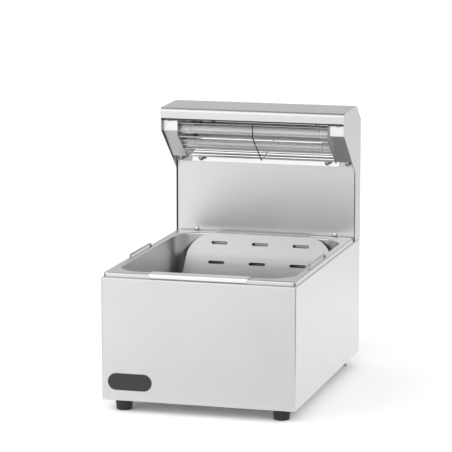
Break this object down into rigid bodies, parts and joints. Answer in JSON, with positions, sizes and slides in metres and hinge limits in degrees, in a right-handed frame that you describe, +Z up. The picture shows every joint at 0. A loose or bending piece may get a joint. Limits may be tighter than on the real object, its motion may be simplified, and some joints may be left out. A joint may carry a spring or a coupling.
{
  "type": "chip warmer",
  "caption": "Countertop warmer for chips: lift-out pan with a curved perforated false bottom in a steel body, and a rear hood with quartz infrared lamps behind a wire guard.",
  "frame": {"origin": "middle of the footprint, on the surface the feet stand on", "axes": "+X to the right seen from the front, +Y to the back, +Z up"},
  "size_m": [0.33, 0.476, 0.4678],
  "materials": {
    "body_steel": "brushed, fine grain",
    "hood_steel": "brushed, fine grain",
    "pan_steel": "satin, drawn sheet",
    "insert_steel": "brushed",
    "wire_steel": "polished wire",
    "dark_wire": "heat darkened",
    "reflector_metal": "polished",
    "nut_metal": "polished",
    "screw_metal": "plain",
    "quartz": "clear",
    "cap_ceramic": "matt",
    "coil_metal": "resistance wire",
    "badge": "bare dark plate",
    "foot_rubber": "matt",
    "switch_plastic": "matt",
    "rocker_plastic": "gloss",
    "pin_brass": "plain",
    "wire_cover": "silicone sleeve"
  },
  "bodies": {
    "root": {"base_shell": "body_steel", "base_floor": "body_steel", "base_rear_panel": "body_steel", "base_rear_screws": "screw_metal", "badge_plate": "badge", "foot_front_left": "foot_rubber", "foot_front_right": "foot_rubber", "foot_rear_left": "foot_rubber", "foot_rear_right": "foot_rubber", "foot_screws": "screw_metal", "foot_nuts": "screw_metal", "switch_housing": "switch_plastic", "power_inlet": "switch_plastic", "inlet_pins": "pin_brass", "inlet_screws": "screw_metal", "column_side_left": "hood_steel", "column_side_right": "hood_steel", "hood_top_cover": "hood_steel", "rear_cover": "hood_steel", "rear_cover_screws": "screw_metal", "back_splash": "hood_steel", "splash_screws": "nut_metal", "lamp_hanger": "hood_steel", "lamp_reflector": "reflector_metal", "lamp_end_plate_left": "hood_steel", "lamp_end_plate_right": "hood_steel", "wiring_cover_left": "hood_steel", "wiring_cover_right": "hood_steel", "quartz_tube_front": "quartz", "quartz_tube_rear": "quartz", "heating_coil_front": "coil_metal", "heating_coil_rear": "coil_metal", "tube_caps_front": "cap_ceramic", "tube_caps_rear": "cap_ceramic", "guard_rods": "wire_steel", "guard_cross_wire": "dark_wire", "cap_nuts_upper": "nut_metal", "cap_nuts_lower": "nut_metal", "terminal_block": "cap_ceramic", "wiring_loom": "wire_cover", "lamp_leads": "wire_cover"},
    "pan": {"pan": "pan_steel"},
    "false_bottom": {"perforated_insert": "insert_steel"},
    "left_handle": {"pan_handle_left": "wire_steel"},
    "right_handle": {"pan_handle_right": "wire_steel"},
    "rocker": {"switch_rocker": "rocker_plastic"}
  },
  "joints": [
    {"name": "pan_lift", "type": "slide", "parent": "root", "child": "pan", "axis": [0, 0, 1], "range_m": [0, 0.06]},
    {"name": "insert_lift", "type": "slide", "parent": "pan", "child": "false_bottom", "axis": [0, 0, 1], "range_m": [0, 0.06]},
    {"name": "left_handle_slide", "type": "slide", "parent": "pan", "child": "left_handle", "axis": [0, 0, 1], "range_m": [0, 0.0295]},
    {"name": "right_handle_slide", "type": "slide", "parent": "pan", "child": "right_handle", "axis": [0, 0, 1], "range_m": [0, 0.0295]},
    {"name": "switch_rock", "type": "hinge", "parent": "root", "child": "rocker", "pos_m": [0.066, 0.2305, 0.065], "axis": [1, 0, 0], "range_deg": [0, 14]}
  ]
}
